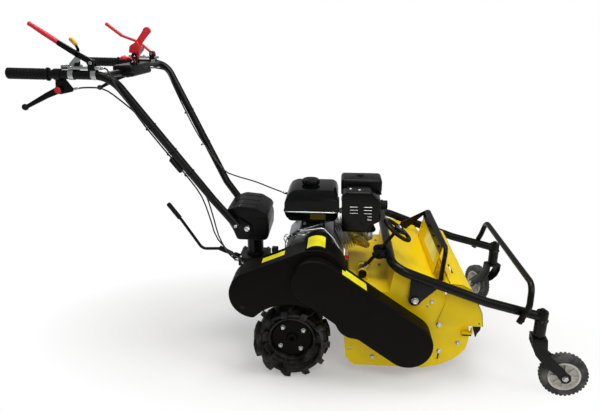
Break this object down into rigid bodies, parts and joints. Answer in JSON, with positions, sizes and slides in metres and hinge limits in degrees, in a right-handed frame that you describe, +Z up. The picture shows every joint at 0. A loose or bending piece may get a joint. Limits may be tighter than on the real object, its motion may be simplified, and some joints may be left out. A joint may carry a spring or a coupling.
{
  "type": "hammer knife mower",
  "caption": "Walk-behind flail mower: petrol engine, two belt drives, lugged drive wheels, hinged hood, swivel casters on a screw-set frame, and a tilting handlebar with levers.",
  "frame": {"origin": "bottom centre of the bounding box, on the ground", "axes": "+X forward, towards the casters; +Y to the recoil starter's side, away from the belt covers; +Z up"},
  "size_m": [1.9012, 0.8024, 1.2284],
  "materials": {
    "belt_rubber": "matte",
    "black_enamel": "gloss",
    "black_plastic": "satin",
    "black_rubber": "matte",
    "cable_black": "satin",
    "cast_aluminium": "cast",
    "grey_rim": "satin",
    "grey_tyre": "matte",
    "red_plastic": "satin",
    "steel": "machined",
    "yellow_enamel": "gloss",
    "yellow_plastic": "satin",
    "zinc_steel": "zinc plated"
  },
  "bodies": {
    "chassis": {"gearbox_case": "black_enamel", "steering_column": "black_enamel", "engine_bed": "black_enamel", "drive_cover": "black_enamel", "drum_cover": "black_enamel", "crank_guard": "black_enamel", "drive_belt": "belt_rubber", "drum_belt": "belt_rubber", "crankcase": "cast_aluminium", "cylinder_block": "cast_aluminium", "fuel_tank": "black_enamel", "muffler_guard": "black_enamel", "muffler": "black_enamel", "air_cleaner": "black_plastic", "carburettor": "cast_aluminium", "recoil_housing": "black_enamel", "deck_top": "yellow_enamel", "deck_side_near": "yellow_enamel", "deck_side_far": "yellow_enamel", "guard_panel": "yellow_enamel", "guard_hoop": "black_enamel"},
    "wheel_near": {"drive_hub_near": "black_enamel", "drive_tyre_near": "black_rubber"},
    "wheel_far": {"drive_hub_far": "black_enamel", "drive_tyre_far": "black_rubber"},
    "crank": {"crankshaft": "steel"},
    "gearbox_input": {"input_pulley": "steel"},
    "rotor": {"flail_rotor": "steel", "rotor_pulley": "steel"},
    "drive_tensioner": {"drive_idler": "zinc_steel"},
    "drum_tensioner": {"drum_idler": "zinc_steel"},
    "cap": {"fuel_cap": "black_plastic"},
    "hood_flap": {"hood": "yellow_enamel", "hood_curtain": "black_rubber"},
    "front_frame": {"caster_frame": "black_enamel", "bumper_hoop": "black_enamel"},
    "nut": {"nut_block": "black_enamel"},
    "screw": {"screw_foot": "zinc_steel"},
    "wheel_screw": {"handwheel": "black_enamel"},
    "caster_near": {"caster_fork_near": "black_enamel"},
    "caster_far": {"caster_fork_far": "black_enamel"},
    "caster_wheel_near": {"caster_tyre_near": "grey_tyre", "caster_rim_near": "grey_rim"},
    "caster_wheel_far": {"caster_tyre_far": "grey_tyre", "caster_rim_far": "grey_rim"},
    "handle": {"handlebar": "black_enamel", "grip_near": "black_rubber", "grip_far": "black_rubber", "handle_base_cover": "black_plastic", "throttle_cable": "cable_black", "drive_clutch_cable": "cable_black", "steering_cable": "cable_black"},
    "drive_clutch": {"drive_clutch_lever": "red_plastic"},
    "brake": {"brake_lever": "red_plastic"},
    "drum_clutch": {"drum_clutch_lever": "red_plastic"},
    "throttle": {"throttle_lever": "red_plastic"},
    "lock": {"lever_lock": "yellow_plastic"},
    "steer_near": {"steering_lever_near": "black_enamel"},
    "steer_far": {"steering_lever_far": "black_enamel"},
    "gear": {"gear_lever": "black_enamel"}
  },
  "joints": [
    {"name": "drive_wheel_near", "type": "hinge", "parent": "chassis", "child": "wheel_near", "pos_m": [-0.07166, -0.29416, 0.14], "axis": [0, 1, 0], "continuous": true},
    {"name": "drive_wheel_far", "type": "hinge", "parent": "chassis", "child": "wheel_far", "pos_m": [-0.07166, 0.17184, 0.14], "axis": [0, 1, 0], "continuous": true},
    {"name": "rotor_spin", "type": "hinge", "parent": "chassis", "child": "rotor", "pos_m": [0.33334, -0.06116, 0.186], "axis": [0, 1, 0], "continuous": true},
    {"name": "crank_spin", "type": "hinge", "parent": "chassis", "child": "crank", "pos_m": [0.01434, -0.06116, 0.412], "axis": [0, 1, 0], "continuous": true},
    {"name": "input_spin", "type": "hinge", "parent": "chassis", "child": "gearbox_input", "pos_m": [-0.19666, -0.06116, 0.341], "axis": [0, 1, 0], "continuous": true},
    {"name": "drive_idler_arm", "type": "hinge", "parent": "chassis", "child": "drive_tensioner", "pos_m": [-0.07291, -0.31116, 0.39834], "axis": [0, -1, 0], "range_deg": [0, 5.2]},
    {"name": "drum_idler_arm", "type": "hinge", "parent": "chassis", "child": "drum_tensioner", "pos_m": [0.18514, -0.38116, 0.26526], "axis": [0, 1, 0], "range_deg": [0, 3.8]},
    {"name": "fuel_cap_turn", "type": "hinge", "parent": "chassis", "child": "cap", "pos_m": [-0.01866, -0.06116, 0.6573], "axis": [0, 0, 1], "range_deg": [0, 90]},
    {"name": "hood_hinge", "type": "hinge", "parent": "chassis", "child": "hood_flap", "pos_m": [0.46434, -0.06116, 0.388], "axis": [0, -1, 0], "range_deg": [0, 70]},
    {"name": "frame_pivot", "type": "hinge", "parent": "chassis", "child": "front_frame", "pos_m": [0.35034, -0.06116, 0.337], "axis": [0, 1, 0], "range_deg": [-5, 6]},
    {"name": "screw_tilt", "type": "hinge", "parent": "chassis", "child": "screw", "pos_m": [0.17634, -0.21116, 0.38], "axis": [0, 1, 0], "range_deg": [-1.26, 1.5]},
    {"name": "nut_swivel", "type": "hinge", "parent": "front_frame", "child": "nut", "pos_m": [0.23028, -0.21116, 0.45267], "axis": [0, 1, 0], "range_deg": [-4.72, 3.94]},
    {"name": "handwheel_turn", "type": "hinge", "parent": "screw", "child": "wheel_screw", "pos_m": [0.17634, -0.21116, 0.38], "axis": [0.596, 0, 0.803], "range_deg": [-1269.95, 1058.3]},
    {"name": "caster_swivel_near", "type": "hinge", "parent": "front_frame", "child": "caster_near", "pos_m": [0.77234, -0.35066, 0.222], "axis": [0, 0, 1], "continuous": true},
    {"name": "caster_roll_near", "type": "hinge", "parent": "caster_near", "child": "caster_wheel_near", "pos_m": [0.8698, -0.3609, 0.08], "axis": [0.1045, 0.9945, 0], "continuous": true},
    {"name": "caster_swivel_far", "type": "hinge", "parent": "front_frame", "child": "caster_far", "pos_m": [0.77234, 0.22834, 0.222], "axis": [0, 0, 1], "continuous": true},
    {"name": "caster_roll_far", "type": "hinge", "parent": "caster_far", "child": "caster_wheel_far", "pos_m": [0.74206, 0.32155, 0.08], "axis": [-0.9511, -0.309, 0], "continuous": true},
    {"name": "handle_tilt", "type": "hinge", "parent": "chassis", "child": "handle", "pos_m": [-0.24766, -0.06116, 0.506], "axis": [0, 1, 0], "range_deg": [-8, 8], "deforming": ["throttle_cable", "drive_clutch_cable", "steering_cable"]},
    {"name": "drive_clutch_squeeze", "type": "hinge", "parent": "handle", "child": "drive_clutch", "pos_m": [-0.67666, -0.33716, 1.108], "axis": [0, -1, 0], "range_deg": [0, 24], "stiffness_Nm_per_rad": 0.8, "springref_deg": -28.65},
    {"name": "brake_squeeze", "type": "hinge", "parent": "handle", "child": "brake", "pos_m": [-0.67666, 0.21484, 1.108], "axis": [0, -1, 0], "range_deg": [0, 24], "stiffness_Nm_per_rad": 0.8, "springref_deg": -28.65},
    {"name": "drum_clutch_throw", "type": "hinge", "parent": "handle", "child": "drum_clutch", "pos_m": [-0.64366, -0.06116, 1.112], "axis": [0, -1, 0], "range_deg": [0, 50]},
    {"name": "throttle_turn", "type": "hinge", "parent": "handle", "child": "throttle", "pos_m": [-0.61366, -0.16116, 1.1], "axis": [0, -1, 0], "range_deg": [-14, 18]},
    {"name": "lock_turn", "type": "hinge", "parent": "handle", "child": "lock", "pos_m": [-0.72866, -0.32166, 1.1], "axis": [0, 1, 0], "range_deg": [0, 18], "stiffness_Nm_per_rad": 0.05, "springref_deg": -22.92},
    {"name": "steering_squeeze_near", "type": "hinge", "parent": "handle", "child": "steer_near", "pos_m": [-0.79366, -0.33716, 1.026], "axis": [0, 1, 0], "range_deg": [0, 22], "stiffness_Nm_per_rad": 0.6, "springref_deg": -28.65},
    {"name": "steering_squeeze_far", "type": "hinge", "parent": "handle", "child": "steer_far", "pos_m": [-0.79366, 0.21484, 1.026], "axis": [0, 1, 0], "range_deg": [0, 22], "stiffness_Nm_per_rad": 0.6, "springref_deg": -28.65},
    {"name": "gear_shift", "type": "hinge", "parent": "chassis", "child": "gear", "pos_m": [-0.30966, -0.09116, 0.366], "axis": [0, 1, 0], "range_deg": [-8, 8]}
  ],
  "couplings": [
    {"joint": "crank_spin", "follows": "rotor_spin", "ratio": 1},
    {"joint": "input_spin", "follows": "rotor_spin", "ratio": 0.64286},
    {"joint": "screw_tilt", "follows": "frame_pivot", "ratio": 0.23701},
    {"joint": "nut_swivel", "follows": "frame_pivot", "ratio": -0.76299},
    {"joint": "handwheel_turn", "follows": "frame_pivot", "ratio": -207.5},
    {"joint": "drive_idler_arm", "follows": "drive_clutch_squeeze", "ratio": 0.21645},
    {"joint": "drum_idler_arm", "follows": "drum_clutch_throw", "ratio": 0.075924}
  ]
}
